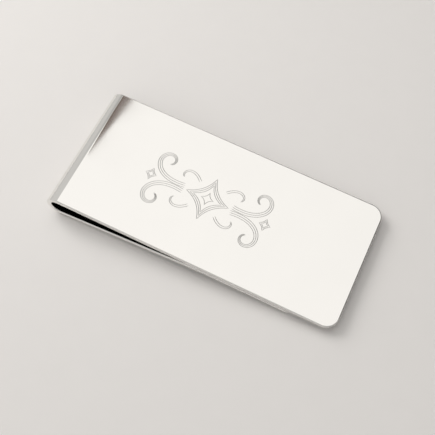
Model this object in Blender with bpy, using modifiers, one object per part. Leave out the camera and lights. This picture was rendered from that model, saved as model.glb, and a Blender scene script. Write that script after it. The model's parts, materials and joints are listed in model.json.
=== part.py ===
"""Money clip: one folded strip of polished spring metal.

The strip runs flat as the front plate, turns back on itself in a hairpin fold, rises as a straight
leaf until it meets the underside of the plate, and ends in a short lip. It is divided into named
sections at the lines where it bends and flexes.

The clip frame has x along the clip from the outside of the fold to the free end, y across it and
z = 0 on the outer face of the front plate. An empty then tips the clip so that it rests on the belly
of the fold and on the lip, with the middle of its footprint at the world origin.
"""

import math

import bmesh
import bpy

# Driving dimensions, in metres and radians.
STRIP_WIDTH = 0.0254
STRIP_THICKNESS = 0.00095
CLIP_LENGTH = 0.0563
FOLD_RADIUS = 0.0027
PLATE_CORNER_RADIUS = 0.0025
LEAF_RISE = math.radians(6.8)
CREST_RADIUS = 0.040
CREST_GAP = 0.0001
LEAF_END = 0.0495
LIP_LENGTH = 0.006
LIP_RADIUS = 0.060
LIP_CORNER_RADIUS = 0.0025
EDGE_ROUNDING = 0.00014
SECTION_GAP = 0.0003
SHARP_ANGLE = math.radians(60)
STRIP_ROWS = 4
FOLD_STEPS = 28
RAMP_STEPS = 8
CREST_STEPS = 24
CORNER_STEPS = 16
LIP_STEPS = 24
METAL_COLOUR = (0.86, 0.855, 0.84, 1.0)
FACE_ROUGHNESS = 0.06
LEAF_ROUGHNESS = 0.12

# Sizes that follow from them.
HALF_THICKNESS = STRIP_THICKNESS / 2
MIDDLE_RADIUS = FOLD_RADIUS - HALF_THICKNESS
FOLD_CENTRE = (FOLD_RADIUS, -FOLD_RADIUS)
RAMP_START = (
    FOLD_CENTRE[0] + MIDDLE_RADIUS * math.sin(LEAF_RISE),
    FOLD_CENTRE[1] - MIDDLE_RADIUS * math.cos(LEAF_RISE),
)
CREST_Z = -STRIP_THICKNESS - CREST_GAP - HALF_THICKNESS
CREST_HEIGHT = CREST_RADIUS * (1 - math.cos(LEAF_RISE))
RAMP_LENGTH = (CREST_Z - RAMP_START[1] - CREST_HEIGHT) / math.sin(LEAF_RISE)
RAMP_END = (
    RAMP_START[0] + RAMP_LENGTH * math.cos(LEAF_RISE),
    RAMP_START[1] + RAMP_LENGTH * math.sin(LEAF_RISE),
)
CREST_START_X = RAMP_END[0] + CREST_RADIUS * math.sin(LEAF_RISE)
LIP_START_X = LEAF_END - LIP_LENGTH
LIP_ANGLE = LIP_LENGTH / LIP_RADIUS

# Both springs bend about the outside face of the strip, so the sections only move apart.
FOLD_FLEX_AXIS = (0.0, -FOLD_RADIUS)
HEEL_FLEX_AXIS = (
    FOLD_CENTRE[0] + FOLD_RADIUS * math.sin(LEAF_RISE),
    FOLD_CENTRE[1] - FOLD_RADIUS * math.cos(LEAF_RISE),
)


def clear_scene():
    """Remove whatever the scene holds."""
    for obj in list(bpy.data.objects):
        bpy.data.objects.remove(obj, do_unlink=True)


def make_collection(name):
    """Make the collection that the sections go in."""
    collection = bpy.data.collections.new(name)
    bpy.context.scene.collection.children.link(collection)
    return collection


def polished_metal(name, roughness):
    """Polished, silver-coloured metal."""
    material = bpy.data.materials.new(name)
    material.use_nodes = True
    shader = material.node_tree.nodes["Principled BSDF"]
    shader.inputs["Base Color"].default_value = METAL_COLOUR
    shader.inputs["Metallic"].default_value = 1.0
    shader.inputs["Roughness"].default_value = roughness
    return material


def make_empty(name, collection, parent, x, z):
    """Make an empty at a point of the clip frame, measured from the clip frame's own empty."""
    empty = bpy.data.objects.new(name, None)
    empty.empty_display_size = 0.004
    empty["clip_x"] = x
    empty["clip_z"] = z
    collection.objects.link(empty)
    if parent is not None:
        empty.parent = parent
        x -= parent["clip_x"]
        z -= parent["clip_z"]
    empty.location = (x, 0.0, z)
    return empty


def fold_line(start, end):
    """Middle line of a stretch of the fold, between two angles from its upper tangent line."""

    def point(share):
        angle = start + (end - start) * share
        x = FOLD_CENTRE[0] - MIDDLE_RADIUS * math.sin(angle)
        z = FOLD_CENTRE[1] + MIDDLE_RADIUS * math.cos(angle)
        return x, z

    return point


def ramp_line(share):
    """Middle line of the straight leaf, shortened by half a gap at each end."""
    along = SECTION_GAP / 2 + (RAMP_LENGTH - SECTION_GAP) * share
    x = RAMP_START[0] + along * math.cos(LEAF_RISE)
    z = RAMP_START[1] + along * math.sin(LEAF_RISE)
    return x, z


def crest_line(share):
    """Middle line of the crest: an arc that levels the leaf out, then a level run under the plate."""
    first_x = RAMP_END[0] + SECTION_GAP / 2 * math.cos(LEAF_RISE)
    last_x = LIP_START_X - SECTION_GAP / 2
    x = first_x + (last_x - first_x) * share
    before_level = max(CREST_START_X - x, 0.0)
    drop = CREST_RADIUS - math.sqrt(CREST_RADIUS**2 - before_level**2)
    return x, CREST_Z - drop


def lip_line(share):
    """Middle line of the lip, which curves away from the plate. Steps crowd towards its end."""
    first_x = LIP_START_X + SECTION_GAP / 2
    x = first_x + (LEAF_END - first_x) * math.sin(share * math.pi / 2)
    angle = LIP_ANGLE * (x - LIP_START_X) / LIP_LENGTH
    return x, CREST_Z - LIP_RADIUS * (1 - math.cos(angle))


def full_half_width(_x):
    """Half of the strip's width."""
    return STRIP_WIDTH / 2


def lip_half_width(x):
    """Half of the lip's width at x, less near its rounded corners."""
    into_corner = x - (LEAF_END - LIP_CORNER_RADIUS)
    into_corner = min(max(into_corner, 0.0), LIP_CORNER_RADIUS)
    inset = LIP_CORNER_RADIUS - math.sqrt(LIP_CORNER_RADIUS**2 - into_corner**2)
    return STRIP_WIDTH / 2 - inset


def strip_section(name, line, steps, half_width=full_half_width):
    """Section of the strip: a sheet along a middle line, thickened both ways and softened at its edges."""
    sheet = bmesh.new()
    bmesh.ops.create_grid(sheet, x_segments=steps, y_segments=STRIP_ROWS, size=1.0)
    for vertex in sheet.verts:
        x, z = line((vertex.co.x + 1) / 2)
        vertex.co = (x, vertex.co.y * half_width(x), z)
    mesh = bpy.data.meshes.new(name)
    sheet.to_mesh(mesh)
    sheet.free()
    mesh.shade_smooth()
    mesh.set_sharp_from_angle(angle=SHARP_ANGLE)
    obj = bpy.data.objects.new(name, mesh)
    solid = obj.modifiers.new("thickness", "SOLIDIFY")
    solid.thickness = STRIP_THICKNESS
    solid.offset = 0.0
    solid.use_even_offset = True
    rounded = obj.modifiers.new("rounded_edges", "BEVEL")
    rounded.width = EDGE_ROUNDING
    rounded.segments = 2
    rounded.limit_method = "ANGLE"
    rounded.angle_limit = SHARP_ANGLE
    return obj


def plate_outline():
    """Plan of the front plate: square at the fold, with two rounded corners at its free end."""
    start = FOLD_RADIUS + SECTION_GAP / 2
    half = STRIP_WIDTH / 2
    radius = PLATE_CORNER_RADIUS
    points = [(start, half), (start, -half)]
    for side, first in ((-1, -math.pi / 2), (1, 0.0)):
        for i in range(CORNER_STEPS + 1):
            angle = first + math.pi / 2 * i / CORNER_STEPS
            x = CLIP_LENGTH - radius + radius * math.cos(angle)
            y = side * (half - radius) + radius * math.sin(angle)
            points.append((x, y))
    return points


def front_plate():
    """Flat front plate, from its plan."""
    points = plate_outline()
    curve = bpy.data.curves.new("front_plate", "CURVE")
    curve.dimensions = "2D"
    curve.fill_mode = "BOTH"
    curve.extrude = HALF_THICKNESS - EDGE_ROUNDING
    curve.bevel_depth = EDGE_ROUNDING
    curve.bevel_resolution = 1
    curve.offset = -EDGE_ROUNDING
    spline = curve.splines.new("POLY")
    spline.points.add(len(points) - 1)
    for point, (x, y) in zip(spline.points, points):
        point.co = (x, y, 0.0, 1.0)
    spline.use_cyclic_u = True
    obj = bpy.data.objects.new("front_plate", curve)
    obj.location.z = -HALF_THICKNESS
    return obj


def upper_fold():
    """Upper half of the hairpin fold."""
    half_gap = SECTION_GAP / 2 / MIDDLE_RADIUS
    line = fold_line(half_gap, math.pi / 2 - half_gap)
    return strip_section("upper_fold", line, FOLD_STEPS)


def lower_fold():
    """Lower half of the hairpin fold, round the belly to the start of the leaf."""
    half_gap = SECTION_GAP / 2 / MIDDLE_RADIUS
    line = fold_line(math.pi / 2 + half_gap, math.pi + LEAF_RISE - half_gap)
    return strip_section("lower_fold", line, FOLD_STEPS)


def back_leaf():
    """Straight part of the spring leaf."""
    return strip_section("back_leaf", ramp_line, RAMP_STEPS)


def grip_crest():
    """Part of the leaf that levels out and holds the notes against the plate."""
    return strip_section("grip_crest", crest_line, CREST_STEPS)


def leaf_lip():
    """End of the leaf, curved away from the plate, with rounded corners."""
    return strip_section("leaf_lip", lip_line, LIP_STEPS, lip_half_width)


def rest_tilt():
    """Angle between the front plate and the surface that the belly and the lip rest on."""
    lip_x = LEAF_END - HALF_THICKNESS * math.sin(LIP_ANGLE)
    lip_z = CREST_Z - LIP_RADIUS * (1 - math.cos(LIP_ANGLE)) - HALF_THICKNESS * math.cos(LIP_ANGLE)
    run = lip_x - FOLD_CENTRE[0]
    rise = lip_z - FOLD_CENTRE[1]
    return math.atan2(rise, run) + math.asin(FOLD_RADIUS / math.hypot(run, rise))


def place_at_rest(frame):
    """Tip the clip frame so that the clip rests on z = 0, centred over the world origin."""
    tilt = rest_tilt()
    centre_x = FOLD_CENTRE[0] * math.cos(tilt) + FOLD_CENTRE[1] * math.sin(tilt)
    centre_z = FOLD_CENTRE[1] * math.cos(tilt) - FOLD_CENTRE[0] * math.sin(tilt)
    low_x = centre_x - FOLD_RADIUS
    high_x = CLIP_LENGTH * math.cos(tilt)
    frame.rotation_euler = (0.0, tilt, 0.0)
    frame.location = (-(low_x + high_x) / 2, 0.0, FOLD_RADIUS - centre_z)


def attach(obj, empty, collection, roughness):
    """Give a section its own metal and parent it to an empty, keeping its place in the clip frame."""
    obj.data.materials.append(polished_metal(obj.name + "_metal", roughness))
    collection.objects.link(obj)
    obj.parent = empty
    obj.location.x -= empty["clip_x"]
    obj.location.z -= empty["clip_z"]


def build():
    """Make every section of the clip and set it at rest."""
    clear_scene()
    collection = make_collection("money_clip")
    frame = make_empty("clip_frame", collection, None, 0.0, 0.0)
    heel_axis = make_empty("heel_flex_axis", collection, frame, *HEEL_FLEX_AXIS)
    fold_axis = make_empty("fold_flex_axis", collection, heel_axis, *FOLD_FLEX_AXIS)
    for section in (front_plate(), upper_fold()):
        attach(section, fold_axis, collection, FACE_ROUGHNESS)
    attach(lower_fold(), heel_axis, collection, FACE_ROUGHNESS)
    for section in (back_leaf(), grip_crest(), leaf_lip()):
        attach(section, frame, collection, LEAF_ROUGHNESS)
    place_at_rest(frame)


build()
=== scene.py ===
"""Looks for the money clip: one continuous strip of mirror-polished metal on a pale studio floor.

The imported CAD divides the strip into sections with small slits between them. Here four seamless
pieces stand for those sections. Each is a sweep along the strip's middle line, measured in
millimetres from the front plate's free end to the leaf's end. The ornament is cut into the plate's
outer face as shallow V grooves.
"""

import json
import math

import bpy
from mathutils import Matrix, Vector
from mathutils.geometry import delaunay_2d_cdt


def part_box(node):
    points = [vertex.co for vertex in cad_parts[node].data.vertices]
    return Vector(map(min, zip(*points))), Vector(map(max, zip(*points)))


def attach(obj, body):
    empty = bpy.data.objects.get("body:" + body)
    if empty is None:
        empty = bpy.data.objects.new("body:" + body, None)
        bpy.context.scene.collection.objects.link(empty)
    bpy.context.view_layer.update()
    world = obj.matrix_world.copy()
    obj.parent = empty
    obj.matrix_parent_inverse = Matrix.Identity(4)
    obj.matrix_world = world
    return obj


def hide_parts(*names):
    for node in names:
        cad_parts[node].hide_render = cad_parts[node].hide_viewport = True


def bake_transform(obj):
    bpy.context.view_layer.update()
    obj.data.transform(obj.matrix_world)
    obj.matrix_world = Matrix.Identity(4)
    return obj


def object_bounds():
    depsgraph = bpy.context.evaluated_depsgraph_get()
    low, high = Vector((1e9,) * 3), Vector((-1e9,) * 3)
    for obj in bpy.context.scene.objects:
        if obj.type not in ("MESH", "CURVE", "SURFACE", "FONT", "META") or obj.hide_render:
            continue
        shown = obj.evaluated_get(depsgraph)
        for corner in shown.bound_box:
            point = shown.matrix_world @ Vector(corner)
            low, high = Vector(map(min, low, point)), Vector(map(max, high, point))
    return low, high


MM = 0.001

# The strip, in millimetres.
STRIP_THICKNESS = 0.95
PLATE_CORNER_RADIUS = 2.5
LEAF_CORNER_RADIUS = 2.5
CREST_RADIUS = 40.0
CREST_GAP = 0.1
LEAF_END = 49.5
LIP_LENGTH = 6.0
LIP_RADIUS = 60.0
EDGE_ROUNDING = 0.25
EDGE_STEPS = 6
CORNER_STEPS = 24
FOLD_STEP_ANGLE = math.radians(2.0)
CREST_STEP = 0.25
FLAT_LEAD_STEPS = 4
LEAF_LEAD_STEPS = 10
RAMP_STEPS = 4
LEVEL_STEPS = 2

# Where one piece ends and the next begins.
PLATE_SEAM_X = 4.5
FOLD_SEAM_ANGLE = math.radians(135)
LEAF_SEAM_RUN = 5.0

# The engraved ornament, in millimetres from its own centre.
ORNAMENT_X = 26.3
GROOVE_WIDTH = 0.12
GROOVE_DEPTH = 0.031
GROOVE_SPACING = 0.40
GROOVE_STEP = 0.09
TIP_LENGTH = 0.5
MIN_CURL_STEPS = 8
MIN_SIDE_STEPS = 6
# Lozenges: reach along the plate, reach across it, and the sag of each hollow side.
LOZENGE = (4.3, 4.5, 0.85)
LOZENGE_SCALES = (1.0, 0.84, 0.68)
HEART_LOZENGE = (1.3, 1.4, 0.34)
FINIAL_X = 11.4
FINIAL_REACHES = (1.15, 0.72)
FINIAL_HEIGHT = 1.15
FINIAL_SAG = 0.2
# Curls: start, heading in degrees, length, and the bend per millimetre at the start and the end.
SCROLL = ((4.7, 0.62), -10, 13.6, 0.09, 1.22)
SCROLL_CLOSING = 0.8
TENDRIL = ((2.55, 2.55), 50, 5.2, -0.2, -1.7)
TENDRIL_CLOSING = 0.75
QUARTERS = ((1, 1), (-1, 1), (1, -1), (-1, -1))
# Cell of the grid that finds the cuts near a point, the depth that counts as cut, and the
# distance at which two points of the plan are one.
CELL = 0.4
TOUCH = 1e-4
MERGE_DISTANCE = TOUCH * 0.01
INSIDE_BORDER_ONLY = 1

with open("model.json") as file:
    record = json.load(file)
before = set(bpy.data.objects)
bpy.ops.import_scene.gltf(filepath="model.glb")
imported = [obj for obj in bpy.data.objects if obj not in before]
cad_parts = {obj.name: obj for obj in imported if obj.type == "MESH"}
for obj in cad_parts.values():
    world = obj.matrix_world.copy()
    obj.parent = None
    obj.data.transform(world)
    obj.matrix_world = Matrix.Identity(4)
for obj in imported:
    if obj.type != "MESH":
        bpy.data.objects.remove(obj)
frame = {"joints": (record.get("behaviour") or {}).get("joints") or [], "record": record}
CAD_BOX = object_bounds()


class ClipFrame:
    """The strip's own frame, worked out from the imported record's face mount and hinge axes."""

    def __init__(self, record, joints):
        mounts = {mount["name"]: mount for mount in record["mounts"]}
        axes = {joint["name"]: Vector(joint["pos_m"]) / MM for joint in joints}
        face = Vector(mounts["front_face"]["pos_m"]) / MM
        self.up = Vector(mounts["front_face"]["axis"]).normalized()
        self.along = Vector((self.up.z, 0.0, -self.up.x))
        self.fold_radius = (face - axes["fold_flex"]).dot(self.up)
        self.origin = axes["fold_flex"] + self.up * self.fold_radius
        self.length = 2 * (face - self.origin).dot(self.along) - self.fold_radius
        centre = self.point(self.fold_radius, 0.0, -self.fold_radius)
        heel = axes["heel_flex"] - centre
        self.leaf_rise = math.atan2(heel.dot(self.along), -heel.dot(self.up))

    def point(self, x, y, z):
        """World place, in millimetres, of a point of the clip frame."""
        return self.origin + self.along * x + Vector((0.0, y, 0.0)) + self.up * z

    def direction(self, x, y, z):
        """World direction of a direction in the clip frame."""
        return self.along * x + Vector((0.0, y, 0.0)) + self.up * z

    def world(self, x, y, z):
        """World place, in metres, of a point of the clip frame."""
        return self.point(x, y, z) * MM


CLIP = ClipFrame(frame["record"], frame["joints"])
LOW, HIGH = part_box("front_plate")
HALF_WIDTH = (HIGH.y - LOW.y) / 2 / MM
HALF_THICKNESS = STRIP_THICKNESS / 2
MIDDLE_RADIUS = CLIP.fold_radius - HALF_THICKNESS

# Lengths along the middle line at which the strip changes its bend.
FOLD_START = CLIP.length - CLIP.fold_radius
FOLD_TURN = math.pi + CLIP.leaf_rise
RAMP_START = FOLD_START + MIDDLE_RADIUS * FOLD_TURN
CREST_DROP = CREST_RADIUS * (1 - math.cos(CLIP.leaf_rise))
CREST_Z = -STRIP_THICKNESS - CREST_GAP - HALF_THICKNESS
RAMP_FOOT_X = CLIP.fold_radius + MIDDLE_RADIUS * math.sin(CLIP.leaf_rise)
RAMP_FOOT_Z = -CLIP.fold_radius - MIDDLE_RADIUS * math.cos(CLIP.leaf_rise)
RAMP_LENGTH = (CREST_Z - CREST_DROP - RAMP_FOOT_Z) / math.sin(CLIP.leaf_rise)
CREST_START = RAMP_START + RAMP_LENGTH
LEVEL_START = CREST_START + CREST_RADIUS * CLIP.leaf_rise
RAMP_END_X = RAMP_FOOT_X + RAMP_LENGTH * math.cos(CLIP.leaf_rise)
LEVEL_X = RAMP_END_X + CREST_RADIUS * math.sin(CLIP.leaf_rise)
LIP_START = LEVEL_START + LEAF_END - LIP_LENGTH - LEVEL_X
STRIP_END = LIP_START + LIP_LENGTH

PLATE_SEAM = CLIP.length - PLATE_SEAM_X
FOLD_SEAM = FOLD_START + MIDDLE_RADIUS * FOLD_SEAM_ANGLE
LEAF_SEAM = RAMP_START + LEAF_SEAM_RUN


def middle_line(s):
    """Place and heading of the strip's middle line: x, z and the angle turned since the plate."""
    if s <= FOLD_START:
        return CLIP.length - s, -HALF_THICKNESS, 0.0
    if s <= RAMP_START:
        turn = (s - FOLD_START) / MIDDLE_RADIUS
        x = CLIP.fold_radius - MIDDLE_RADIUS * math.sin(turn)
        z = -CLIP.fold_radius + MIDDLE_RADIUS * math.cos(turn)
        return x, z, turn
    if s <= CREST_START:
        run = s - RAMP_START
        x = RAMP_FOOT_X + run * math.cos(CLIP.leaf_rise)
        z = RAMP_FOOT_Z + run * math.sin(CLIP.leaf_rise)
        return x, z, FOLD_TURN
    if s <= LEVEL_START:
        rise = (LEVEL_START - s) / CREST_RADIUS
        x = LEVEL_X - CREST_RADIUS * math.sin(rise)
        z = CREST_Z - CREST_RADIUS * (1 - math.cos(rise))
        return x, z, math.pi + rise
    if s <= LIP_START:
        return LEVEL_X + s - LEVEL_START, CREST_Z, math.pi
    fall = (s - LIP_START) / LIP_RADIUS
    x = LEVEL_X + LIP_START - LEVEL_START + LIP_RADIUS * math.sin(fall)
    z = CREST_Z - LIP_RADIUS * (1 - math.cos(fall))
    return x, z, math.pi - fall


def on_strip(s, y, height):
    """World place, in metres, of a point at a height above the strip's middle surface."""
    x, z, turn = middle_line(s)
    return CLIP.world(x - height * math.sin(turn), y, z + height * math.cos(turn))


def strip_direction(s, ahead, across, outward):
    """World direction from parts ahead along the strip, across it, and out of its outer face."""
    turn = middle_line(s)[2]
    x = -ahead * math.cos(turn) - outward * math.sin(turn)
    z = -ahead * math.sin(turn) + outward * math.cos(turn)
    return CLIP.direction(x, across, z)


def edge_profile():
    """The strip's rounded edge from its outer face to its inner face: inset, height and normal."""
    profile = []
    for end in (1, -1):
        for step in range(EDGE_STEPS + 1):
            angle = math.pi / 2 * step / EDGE_STEPS
            angle = angle if end == 1 else math.pi / 2 - angle
            inset = EDGE_ROUNDING * (1 - math.sin(angle))
            height = end * (HALF_THICKNESS - EDGE_ROUNDING * (1 - math.cos(angle)))
            profile.append((inset, height, math.sin(angle), end * math.cos(angle)))
    return profile


EDGE_PROFILE = edge_profile()


def straight_stations(start, end, steps):
    """Full-width stations: place along the strip, half width, and the edge's outward direction."""
    return [(start + (end - start) * i / steps, HALF_WIDTH, 0.0, 1.0) for i in range(steps + 1)]


def corner_stations(tip, radius, sense):
    """Stations round a free end's corner. sense is -1 where the strip begins, 1 where it ends."""
    stations = []
    for step in range(CORNER_STEPS + 1):
        angle = math.pi / 2 * step / CORNER_STEPS
        s = tip - sense * radius * (1 - math.sin(angle))
        half = HALF_WIDTH - radius * (1 - math.cos(angle))
        stations.append((s, half, sense * math.sin(angle), math.cos(angle)))
    return stations if sense > 0 else stations[::-1]


class Skin:
    """A mesh in the making, with its own normal for each face corner."""

    def __init__(self):
        self.points = []
        self.normals = []
        self.faces = []
        self.corners = []
        self.cut_faces = set()

    def add_point(self, point, normal):
        self.points.append(point)
        self.normals.append(normal)
        return len(self.points) - 1

    def add_face(self, indices, flat=False, cut=False):
        """Add a face. A flat one takes its own plane's normal, and the others their points'."""
        if flat:
            a, b, c = (self.points[i] for i in indices[:3])
            normal = (b - a).cross(c - a).normalized()
            self.corners.append([normal] * len(indices))
        else:
            self.corners.append([self.normals[i] for i in indices])
        if cut:
            self.cut_faces.add(len(self.faces))
        self.faces.append(indices)

    def finish(self, name, metal, cut_metal=None):
        """Make the object. Cut faces take cut_metal, where it is given."""
        mesh = bpy.data.meshes.new(name)
        mesh.from_pydata(self.points, [], self.faces)
        mesh.materials.append(metal)
        if cut_metal is not None:
            mesh.materials.append(cut_metal)
            for index in self.cut_faces:
                mesh.polygons[index].material_index = 1
        mesh.shade_smooth()
        mesh.normals_split_custom_set([n for face in self.corners for n in face])
        obj = bpy.data.objects.new(name, mesh)
        bpy.context.scene.collection.objects.link(obj)
        return obj


def sweep(stations, free_start=False, free_end=False, outer_face=None):
    """Sweep the strip's section through the stations, closed at both ends.

    outer_face(skin, rim) fills the outer face in place of plain quads, where it is given. rim holds
    (s, y, point index) round the edge of that face.
    """
    skin = Skin()
    loops = []
    for s, half, ahead, across in stations:
        sides = []
        for side in (1, -1):
            indices = []
            for inset, height, out, up in EDGE_PROFILE:
                at = s - ahead * inset
                y = side * (half - across * inset)
                normal = strip_direction(at, out * ahead, side * out * across, up)
                indices.append(skin.add_point(on_strip(at, y, height), normal))
            sides.append(indices)
        loops.append((s, half, ahead, across, sides))
    for first, second in zip(loops, loops[1:]):
        (near_a, far_a), (near_b, far_b) = first[4], second[4]
        for k in range(len(EDGE_PROFILE) - 1):
            skin.add_face([near_a[k], near_a[k + 1], near_b[k + 1], near_b[k]])
            skin.add_face([far_a[k + 1], far_a[k], far_b[k], far_b[k + 1]])
        skin.add_face([near_a[-1], far_a[-1], far_b[-1], near_b[-1]])
        if outer_face is None:
            skin.add_face([far_a[0], near_a[0], near_b[0], far_b[0]])
    for loop, free, is_end in ((loops[0], free_start, False), (loops[-1], free_end, True)):
        near, far = loop[4]
        for k in range(len(EDGE_PROFILE) - 1):
            quad = [near[k], near[k + 1], far[k + 1], far[k]]
            skin.add_face(quad if is_end else quad[::-1], flat=not free)
    if outer_face is not None:
        inset = EDGE_PROFILE[0][0]
        rim = []
        for s, half, ahead, across, (near, _far) in loops:
            rim.append((s - ahead * inset, half - across * inset, near[0]))
        for s, half, ahead, across, (_near, far) in reversed(loops):
            rim.append((s - ahead * inset, -(half - across * inset), far[0]))
        outer_face(skin, rim)
    return skin


# ---------------------------------------------------------------- the ornament


def swirl(start, heading, length, first_bend, last_bend):
    """A stroke whose bend grows along it, so that it curls into a scroll."""
    steps = max(int(length / GROOVE_STEP), MIN_CURL_STEPS)
    x, y = start
    points = []
    angle = math.radians(heading)
    for i in range(steps + 1):
        points.append(Vector((x, y)))
        share = i / steps
        bend = first_bend + (last_bend - first_bend) * share * share
        angle += bend * length / steps
        x += math.cos(angle) * length / steps
        y += math.sin(angle) * length / steps
    return points


def arc_between(a, b, sag):
    """A shallow parabola from a to b, bulging to the left by sag."""
    a, b = Vector(a), Vector(b)
    left = Vector((a.y - b.y, b.x - a.x)).normalized()
    steps = max(int((b - a).length / GROOVE_STEP / 2), MIN_SIDE_STEPS)
    points = []
    for i in range(steps + 1):
        points.append(a.lerp(b, i / steps) + left * sag * 4 * i / steps * (1 - i / steps))
    return points


def offset_stroke(points, distance, closing=0.0):
    """A line beside a stroke. closing draws it in towards the stroke at the far end."""
    moved = []
    for i, point in enumerate(points):
        before, after = points[max(i - 1, 0)], points[min(i + 1, len(points) - 1)]
        along = (after - before).normalized()
        share = i / (len(points) - 1)
        reach = distance * (1 - closing * share**3)
        moved.append(point + Vector((-along.y, along.x)) * reach)
    return moved


def lozenge(reach_x, reach_y, sag):
    """Four hollow sides between the tips of a lozenge."""
    tips = [(reach_x, 0.0), (0.0, reach_y), (-reach_x, 0.0), (0.0, -reach_y)]
    return [arc_between(tips[i], tips[(i + 1) % 4], sag) for i in range(4)]


def mirrored(strokes, flips):
    """A copy of each stroke for each pair of signs in flips."""
    copies = []
    for stroke in strokes:
        for flip_x, flip_y in flips:
            copies.append([Vector((p.x * flip_x, p.y * flip_y)) for p in stroke])
    return copies


def ornament_strokes():
    """Every stroke of the ornament: a hollow lozenge between two pairs of scrolls."""
    strokes = []
    for scale in LOZENGE_SCALES:
        strokes += lozenge(*(size * scale for size in LOZENGE))
    strokes += lozenge(*HEART_LOZENGE)
    quarter = []
    scroll, tendril = swirl(*SCROLL), swirl(*TENDRIL)
    for side in (-1, 0, 1):
        quarter.append(offset_stroke(scroll, side * GROOVE_SPACING, SCROLL_CLOSING))
    for side in (-0.5, 0.5):
        quarter.append(offset_stroke(tendril, side * GROOVE_SPACING, TENDRIL_CLOSING))
    strokes += mirrored(quarter, QUARTERS)
    for reach in FINIAL_REACHES:
        for stroke in lozenge(reach, reach * FINIAL_HEIGHT, FINIAL_SAG * reach):
            for side in (-1, 1):
                strokes.append([p + Vector((side * FINIAL_X, 0.0)) for p in stroke])
    return strokes


class Groove:
    """One V-shaped cut, with its own half width at each point, drawn to a point at both ends."""

    def __init__(self, points):
        self.points = points
        self.lengths = [0.0]
        for a, b in zip(points, points[1:]):
            self.lengths.append(self.lengths[-1] + (b - a).length)
        total = self.lengths[-1]
        self.halves = [GROOVE_WIDTH / 2 * self.taper(at, total) for at in self.lengths]

    @staticmethod
    def taper(at, total):
        """Share of the full width at a distance along the cut."""
        tip = min(TIP_LENGTH, total / 3)
        share = min(at, total - at) / tip
        return math.sin(min(share, 1.0) * math.pi / 2)

    def rails(self):
        """The left rim, the bottom and the right rim, which all meet at both tips."""
        rails = []
        for side in (-1, 0, 1):
            rail = []
            for i, point in enumerate(self.points):
                before = self.points[max(i - 1, 0)]
                after = self.points[min(i + 1, len(self.points) - 1)]
                along = (after - before).normalized()
                rail.append(point + Vector((-along.y, along.x)) * side * self.halves[i])
            rails.append(rail)
        return rails


def depth_at(point, cells):
    """How deep the cuts go at a point of the plan, where the deepest of them wins."""
    deepest = 0.0
    for a, b, half_a, half_b in cells.get(cell_of(point), ()):
        run = b - a
        share = max(0.0, min(1.0, (point - a).dot(run) / run.length_squared))
        half = half_a + (half_b - half_a) * share
        if half > 0:
            inside = half - (point - a - run * share).length
            deepest = max(deepest, inside * GROOVE_DEPTH / (GROOVE_WIDTH / 2))
    return deepest


def cell_of(point):
    """The cell of a coarse square grid that a point is in."""
    return int(math.floor(point.x / CELL)), int(math.floor(point.y / CELL))


def engraved_face(skin, rim):
    """Fill the plate's outer face, with the ornament cut into it."""
    grooves = [Groove(stroke) for stroke in ornament_strokes()]
    cells = {}
    plan = [Vector((s, y)) for s, y, _index in rim]
    edges = []
    centre = Vector((CLIP.length - ORNAMENT_X, 0.0))
    for groove in grooves:
        for i in range(len(groove.points) - 1):
            a, b = groove.points[i], groove.points[i + 1]
            piece = (a, b, groove.halves[i], groove.halves[i + 1])
            corner = cell_of((a + b) / 2)
            for dx in (-1, 0, 1):
                for dy in (-1, 0, 1):
                    cells.setdefault((corner[0] + dx, corner[1] + dy), []).append(piece)
        for rail in groove.rails():
            first = len(plan)
            plan += [centre + Vector((-p.x, p.y)) for p in rail]
            edges += [(i, i + 1) for i in range(first, len(plan) - 1)]
    border = list(range(len(rim)))
    divided = delaunay_2d_cdt(plan, edges, [border], INSIDE_BORDER_ONLY, MERGE_DISTANCE, True)
    points, triangles, sources = divided[0], divided[2], divided[3]
    indices = []
    for point, source in zip(points, sources):
        on_rim = [i for i in source if i < len(rim)]
        if on_rim:
            indices.append(rim[on_rim[0]][2])
            continue
        depth = depth_at(Vector((centre.x - point.x, point.y)), cells)
        place = on_strip(point.x, point.y, HALF_THICKNESS - depth)
        indices.append(skin.add_point(place, CLIP.up.copy()))
    for triangle in triangles:
        a, b, c = (points[i] for i in triangle)
        if (b - a).cross(c - a) > 0:
            triangle = triangle[::-1]
        middle = (a + b + c) / 3
        cut = depth_at(Vector((centre.x - middle.x, middle.y)), cells) > TOUCH
        skin.add_face([indices[i] for i in triangle], flat=cut, cut=cut)


# ---------------------------------------------------------------- materials


SILVER = (0.87, 0.857, 0.836)
SMUDGED_SHARE = 0.965
SMUDGE_SCALE = 130.0
SMUDGE_DETAIL = 5.0
SMUDGE_SPAN = (0.3, 0.75)
# Unevenness of the polish: pattern scale on each axis, bump strength, and bump height in metres.
HAIRLINES = ((9.0, 2600.0, 9.0), 0.02, 0.00002)
WAVINESS = ((60.0, 45.0, 60.0), 0.10, 0.0002)
# Roughness where the metal is clean and where it is smudged.
POLISHED_ROUGHNESS = (0.035, 0.075)
CUT_ROUGHNESS = (0.22, 0.32)
PAPER_TONES = ((0.86, 0.838, 0.824, 1.0), (0.88, 0.858, 0.844, 1.0))
PAPER_ROUGHNESS = 0.85
PAPER_SPECULAR = 0.2
PAPER_FIBRE_SCALE = 220.0
PAPER_FIBRE_DETAIL = 6.0


def new_material(name):
    """A material with only its shader, and its nodes and links."""
    material = bpy.data.materials.new(name)
    material.use_nodes = True
    return material, material.node_tree.nodes, material.node_tree.links


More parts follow.
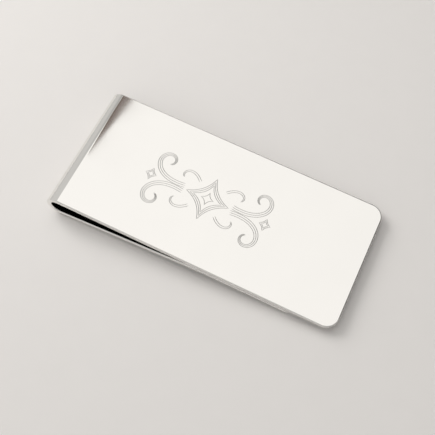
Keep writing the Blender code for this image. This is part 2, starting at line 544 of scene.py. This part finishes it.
def polished_metal(name, roughness):
    """Silver with fine hairlines, a slightly uneven surface and faint smudges from handling."""
    material, nodes, links = new_material(name)
    shader = nodes["Principled BSDF"]
    shader.inputs["Metallic"].default_value = 1.0
    place = nodes.new("ShaderNodeTexCoord")
    previous = None
    for scale, strength, distance in (HAIRLINES, WAVINESS):
        mapping = nodes.new("ShaderNodeMapping")
        mapping.inputs["Scale"].default_value = scale
        links.new(place.outputs["Object"], mapping.inputs["Vector"])
        noise = nodes.new("ShaderNodeTexNoise")
        noise.inputs["Scale"].default_value = 1.0
        noise.inputs["Detail"].default_value = 2.0
        links.new(mapping.outputs["Vector"], noise.inputs["Vector"])
        bump = nodes.new("ShaderNodeBump")
        bump.inputs["Strength"].default_value = strength
        bump.inputs["Distance"].default_value = distance
        links.new(noise.outputs["Fac"], bump.inputs["Height"])
        if previous is not None:
            links.new(previous.outputs["Normal"], bump.inputs["Normal"])
        previous = bump
    links.new(previous.outputs["Normal"], shader.inputs["Normal"])
    smudge = nodes.new("ShaderNodeTexNoise")
    smudge.inputs["Scale"].default_value = SMUDGE_SCALE
    smudge.inputs["Detail"].default_value = SMUDGE_DETAIL
    links.new(place.outputs["Object"], smudge.inputs["Vector"])
    rough = nodes.new("ShaderNodeMapRange")
    rough.inputs["From Min"].default_value, rough.inputs["From Max"].default_value = SMUDGE_SPAN
    rough.inputs["To Min"].default_value, rough.inputs["To Max"].default_value = roughness
    links.new(smudge.outputs["Fac"], rough.inputs["Value"])
    links.new(rough.outputs["Result"], shader.inputs["Roughness"])
    tint = nodes.new("ShaderNodeMix")
    tint.data_type = "RGBA"
    tint.inputs["A"].default_value = (*SILVER, 1.0)
    tint.inputs["B"].default_value = (*(channel * SMUDGED_SHARE for channel in SILVER), 1.0)
    links.new(smudge.outputs["Fac"], tint.inputs["Factor"])
    links.new(tint.outputs["Result"], shader.inputs["Base Color"])
    return material


def floor_paper():
    """Smooth, pale warm-grey paper."""
    material, nodes, links = new_material("studio_paper")
    shader = nodes["Principled BSDF"]
    shader.inputs["Roughness"].default_value = PAPER_ROUGHNESS
    shader.inputs["Specular IOR Level"].default_value = PAPER_SPECULAR
    place = nodes.new("ShaderNodeTexCoord")
    fibre = nodes.new("ShaderNodeTexNoise")
    fibre.inputs["Scale"].default_value = PAPER_FIBRE_SCALE
    fibre.inputs["Detail"].default_value = PAPER_FIBRE_DETAIL
    links.new(place.outputs["Object"], fibre.inputs["Vector"])
    tint = nodes.new("ShaderNodeMix")
    tint.data_type = "RGBA"
    tint.inputs["A"].default_value, tint.inputs["B"].default_value = PAPER_TONES
    links.new(fibre.outputs["Fac"], tint.inputs["Factor"])
    links.new(tint.outputs["Result"], shader.inputs["Base Color"])
    return material


# ---------------------------------------------------------------- the clip


def steps_for(length, step):
    """How many equal steps of about that size a length takes."""
    return max(int(math.ceil(length / step)), 1)


def front_plate(metal, cut_metal):
    """The flat front plate with its engraved outer face and two rounded corners."""
    stations = corner_stations(0.0, PLATE_CORNER_RADIUS, -1)
    stations += straight_stations(PLATE_CORNER_RADIUS, PLATE_SEAM, 1)[1:]
    skin = sweep(stations, free_start=True, outer_face=engraved_face)
    return skin.finish("engraved_front_plate", metal, cut_metal)


def upper_bend(metal):
    """The start of the fold, from the flat plate round its outside."""
    steps = steps_for(FOLD_SEAM - FOLD_START, MIDDLE_RADIUS * FOLD_STEP_ANGLE)
    stations = straight_stations(PLATE_SEAM, FOLD_START, FLAT_LEAD_STEPS)
    stations += straight_stations(FOLD_START, FOLD_SEAM, steps)[1:]
    return sweep(stations).finish("upper_fold_bend", metal)


def lower_bend(metal):
    """The belly of the fold and the first part of the leaf."""
    steps = steps_for(RAMP_START - FOLD_SEAM, MIDDLE_RADIUS * FOLD_STEP_ANGLE)
    stations = straight_stations(FOLD_SEAM, RAMP_START, steps)
    stations += straight_stations(RAMP_START, LEAF_SEAM, LEAF_LEAD_STEPS)[1:]
    return sweep(stations).finish("lower_fold_bend", metal)


def spring_leaf(metal):
    """The leaf: its straight rise, its crest under the plate and its lip with rounded corners."""
    corner_start = STRIP_END - LEAF_CORNER_RADIUS
    crest_steps = steps_for(LEVEL_START - CREST_START, CREST_STEP)
    lip_steps = steps_for(corner_start - LIP_START, CREST_STEP)
    stations = straight_stations(LEAF_SEAM, CREST_START, RAMP_STEPS)
    stations += straight_stations(CREST_START, LEVEL_START, crest_steps)[1:]
    stations += straight_stations(LEVEL_START, LIP_START, LEVEL_STEPS)[1:]
    stations += straight_stations(LIP_START, corner_start, lip_steps)[1:]
    stations += corner_stations(STRIP_END, LEAF_CORNER_RADIUS, 1)[1:]
    return sweep(stations, free_end=True).finish("spring_leaf", metal)


def build_clip():
    """Make the four pieces, and put the plate and the leaf on their CAD bodies."""
    metal = polished_metal("polished_silver", POLISHED_ROUGHNESS)
    cut_metal = polished_metal("engraved_cut", CUT_ROUGHNESS)
    plate, upper = front_plate(metal, cut_metal), upper_bend(metal)
    lower, leaf = lower_bend(metal), spring_leaf(metal)
    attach(plate, "plate")
    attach(leaf, "leaf")
    inner_z = -2 * CLIP.fold_radius + STRIP_THICKNESS
    seam = [on_strip(FOLD_SEAM, 0.0, side * HALF_THICKNESS) for side in (-1, 1)]
    seam_z = max((point / MM - CLIP.origin).dot(CLIP.up) for point in seam)
    seam_x = max((point / MM - CLIP.origin).dot(CLIP.along) for point in seam)
    upper_from = CLIP.world(0.0, 0.0, -STRIP_THICKNESS)
    upper_to = CLIP.world(0.0, 0.0, seam_z)
    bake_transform(upper)
    leaf_x = middle_line(LEAF_SEAM)[0] - HALF_THICKNESS
    lower_from = CLIP.world(seam_x, 0.0, inner_z)
    lower_to = CLIP.world(leaf_x, 0.0, inner_z)
    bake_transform(lower)
    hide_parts("front_plate")
    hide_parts("upper_fold")
    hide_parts("lower_fold")
    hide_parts("back_leaf", "grip_crest", "leaf_lip")


# ---------------------------------------------------------------- the studio


# The camera's aim is in the clip frame's millimetres, and its distance in metres.
CAMERA_AIM_X = 29.545
CAMERA_AIM_Y = -2.488
CAMERA_DISTANCE = 0.13428
CAMERA_AZIMUTH = math.radians(26.97)
CAMERA_ELEVATION = math.radians(64.23)
CAMERA_ROLL = math.radians(-1.58)
CAMERA_LENS = 62.11
CAMERA_CLIP_START = 0.005
FLOOR_SIZE = 6.0
# Corners and height, in the clip frame's millimetres, of a glowing sheet that only the metal sees:
# a painted dark reflection in the fold.
PAINTED_REFLECTION_CORNERS = ((-90, 106), (-82, 168), (-165, 190), (-165, 150))
PAINTED_REFLECTION_HEIGHT = 250
# Colour of the painted dark reflection in the fold.
PAINTED_REFLECTION_COLOUR = (0.21, 0.17, 0.15)
# Softboxes: direction from the object, distance and size in metres, and radiance.
CEILING_SOFTBOX = ((-0.10, 0.42, 0.90), 0.50, 0.42, 0.44)
KEY_SOFTBOX = ((-0.79, 0.18, 0.59), 0.32, 0.19, 1.42)
KEY_SPREAD = math.radians(95)
WARM_WHITE = (1.0, 0.985, 0.96)
# Parts of the tent: a direction, the span of its cosine, and the share of light at both ends.
TENT_BRIGHT_SIDE = ((-0.6, 0.0, 0.8), (-0.4, 0.9), (0.0, 1.0))
TENT_OPENING = ((0.51, 0.82, 0.26), (0.68, 0.82), (1.0, 0.08))
TENT_FAR_CORNER = ((-0.43, 0.69, 0.59), (0.905, 0.985), (1.0, 0.6))
TENT_PARTS = (TENT_BRIGHT_SIDE, TENT_OPENING, TENT_FAR_CORNER)
TENT_DIM = (0.27, 0.265, 0.257, 1.0)
TENT_BRIGHT = (0.66, 0.65, 0.63, 1.0)
BACKDROP_STEPS = 48
BACKDROP_HEIGHT = 1.6
BACKDROP_REACH = 0.98
# Tones of the glowing wall, painted shading that is darker at its foot and paler up high, each with
# the share of its height where it stands.
BACKDROP_PAINTED_SHADING = (
    (0.0, (0.44, 0.425, 0.405, 1.0)),
    (0.07, (0.57, 0.56, 0.545, 1.0)),
    (0.5, (0.70, 0.69, 0.675, 1.0)),
)


def compass(azimuth, elevation):
    """Direction from the object at an azimuth, 0 being towards -Y, and an elevation."""
    flat = math.cos(elevation)
    return Vector((math.sin(azimuth) * flat, -math.cos(azimuth) * flat, math.sin(elevation)))


def make_camera():
    """Camera above the near side and close to the clip."""
    data = bpy.data.cameras.new("camera")
    data.lens = CAMERA_LENS
    data.clip_start = CAMERA_CLIP_START
    camera = bpy.data.objects.new("camera", data)
    back = compass(CAMERA_AZIMUTH, CAMERA_ELEVATION)
    aim = CLIP.world(CAMERA_AIM_X, CAMERA_AIM_Y, 0.0)
    turned = Matrix.Rotation(CAMERA_ROLL, 4, "Z")
    level = (-back).to_track_quat("-Z", "Y").to_matrix().to_4x4()
    camera.matrix_world = Matrix.Translation(aim + back * CAMERA_DISTANCE) @ level @ turned
    bpy.context.scene.collection.objects.link(camera)
    bpy.context.scene.camera = camera


def make_floor():
    """Wide pale floor at the height that the clip rests on."""
    mesh = bpy.data.meshes.new("studio_floor")
    half = FLOOR_SIZE / 2
    height = CAD_BOX[0].z
    signs = ((-1, -1), (1, -1), (1, 1), (-1, 1))
    mesh.from_pydata([(x * half, y * half, height) for x, y in signs], [], [(0, 1, 2, 3)])
    mesh.materials.append(floor_paper())
    floor = bpy.data.objects.new("studio_floor", mesh)
    bpy.context.scene.collection.objects.link(floor)


def softbox(name, direction, distance, size, radiance):
    """Square area light that faces the clip, with a given brightness as seen from it."""
    direction = Vector(direction)
    data = bpy.data.lights.new(name, "AREA")
    data.shape = "SQUARE"
    data.size = size
    data.energy = radiance * math.pi * size * size
    data.color = WARM_WHITE
    light = bpy.data.objects.new(name, data)
    facing = (-direction).to_track_quat("-Z", "Y").to_matrix().to_4x4()
    light.matrix_world = Matrix.Translation(direction.normalized() * distance) @ facing
    bpy.context.scene.collection.objects.link(light)
    return light


def painted_reflection_sheet(name, corners, height, colour):
    """Glowing level sheet above the clip, in the clip frame's millimetres, which shows only in the
    metal as a painted dark reflection.
    """
    mesh = bpy.data.meshes.new(name)
    mesh.from_pydata([CLIP.world(x, y, height) for x, y in corners], [], [range(len(corners))])
    material, nodes, links = new_material(name)
    glow = nodes.new("ShaderNodeEmission")
    glow.inputs["Color"].default_value = (*colour, 1.0)
    links.new(glow.outputs["Emission"], nodes["Material Output"].inputs["Surface"])
    mesh.materials.append(material)
    painted_sheet = bpy.data.objects.new(name, mesh)
    painted_sheet.visible_camera = False
    painted_sheet.visible_diffuse = False
    painted_sheet.visible_shadow = False
    bpy.context.scene.collection.objects.link(painted_sheet)


def make_world():
    """White tent: bright on the left and overhead, dimmer in a far corner, with a dark opening.

    The first part sets the tone, and the others dim it round their own directions.
    """
    world = bpy.data.worlds.new("tent")
    world.use_nodes = True
    bpy.context.scene.world = world
    nodes, links = world.node_tree.nodes, world.node_tree.links
    place = nodes.new("ShaderNodeTexCoord")
    shares = []
    for direction, span, values in TENT_PARTS:
        lean = nodes.new("ShaderNodeVectorMath")
        lean.operation = "DOT_PRODUCT"
        lean.inputs[1].default_value = Vector(direction).normalized()
        links.new(place.outputs["Generated"], lean.inputs[0])
        share = nodes.new("ShaderNodeMapRange")
        share.interpolation_type = "SMOOTHSTEP"
        share.inputs["From Min"].default_value, share.inputs["From Max"].default_value = span
        share.inputs["To Min"].default_value, share.inputs["To Max"].default_value = values
        links.new(lean.outputs["Value"], share.inputs["Value"])
        shares.append(share)
    ramp = nodes.new("ShaderNodeValToRGB")
    elements = ramp.color_ramp.elements
    elements[0].color = TENT_DIM
    elements[1].color = TENT_BRIGHT
    links.new(shares[0].outputs["Result"], ramp.inputs["Fac"])
    links.new(ramp.outputs["Color"], nodes["Background"].inputs["Color"])
    dimmed = nodes.new("ShaderNodeMath")
    dimmed.operation = "MULTIPLY"
    links.new(shares[1].outputs["Result"], dimmed.inputs[0])
    links.new(shares[2].outputs["Result"], dimmed.inputs[1])
    links.new(dimmed.outputs["Value"], nodes["Background"].inputs["Strength"])


def make_backdrop():
    """Round glowing wall behind everything, which only the camera sees, so that the floor ends
    softly; its painted shading runs darker at the foot and paler up high.
    """
    mesh = bpy.data.meshes.new("studio_backdrop")
    reach = FLOOR_SIZE / 2 * BACKDROP_REACH
    points = []
    for step in range(BACKDROP_STEPS):
        angle = 2 * math.pi * step / BACKDROP_STEPS
        for height in (CAD_BOX[0].z, BACKDROP_HEIGHT):
            points.append((reach * math.cos(angle), reach * math.sin(angle), height))
    count = len(points)
    panels = [(i, i + 1, (i + 3) % count, (i + 2) % count) for i in range(0, count, 2)]
    mesh.from_pydata(points, [], panels)
    material, nodes, links = new_material("backdrop_painted_glow")
    place = nodes.new("ShaderNodeTexCoord")
    parts = nodes.new("ShaderNodeSeparateXYZ")
    links.new(place.outputs["Generated"], parts.inputs["Vector"])
    # Painted shading: the wall glows darker at its foot and paler up high.
    ramp = nodes.new("ShaderNodeValToRGB")
    ramp.color_ramp.elements[-1].position = BACKDROP_PAINTED_SHADING[-1][0]
    ramp.color_ramp.elements.new(BACKDROP_PAINTED_SHADING[1][0])
    for element, (position, tone) in zip(ramp.color_ramp.elements, BACKDROP_PAINTED_SHADING):
        element.position = position
        element.color = tone
    links.new(parts.outputs["Z"], ramp.inputs["Fac"])
    glow = nodes.new("ShaderNodeEmission")
    links.new(ramp.outputs["Color"], glow.inputs["Color"])
    links.new(glow.outputs["Emission"], nodes["Material Output"].inputs["Surface"])
    mesh.materials.append(material)
    wall = bpy.data.objects.new("studio_backdrop", mesh)
    wall.visible_glossy = False
    wall.visible_diffuse = False
    wall.visible_shadow = False
    bpy.context.scene.collection.objects.link(wall)


def build_studio():
    """Floor, lights and camera."""
    make_floor()
    # Glowing backdrop with painted shading, darker at its foot.
    make_backdrop()
    make_world()
    softbox("ceiling_softbox", *CEILING_SOFTBOX)
    key = softbox("key_softbox", *KEY_SOFTBOX)
    key.data.spread = KEY_SPREAD
    key.visible_glossy = False
    # Painted dark reflection: a glowing sheet that only the metal sees.
    painted_reflection_sheet("painted_dark_reflection", PAINTED_REFLECTION_CORNERS, PAINTED_REFLECTION_HEIGHT, PAINTED_REFLECTION_COLOUR)
    make_camera()
    bpy.context.scene.view_settings.view_transform = "Standard"


build_clip()
build_studio()
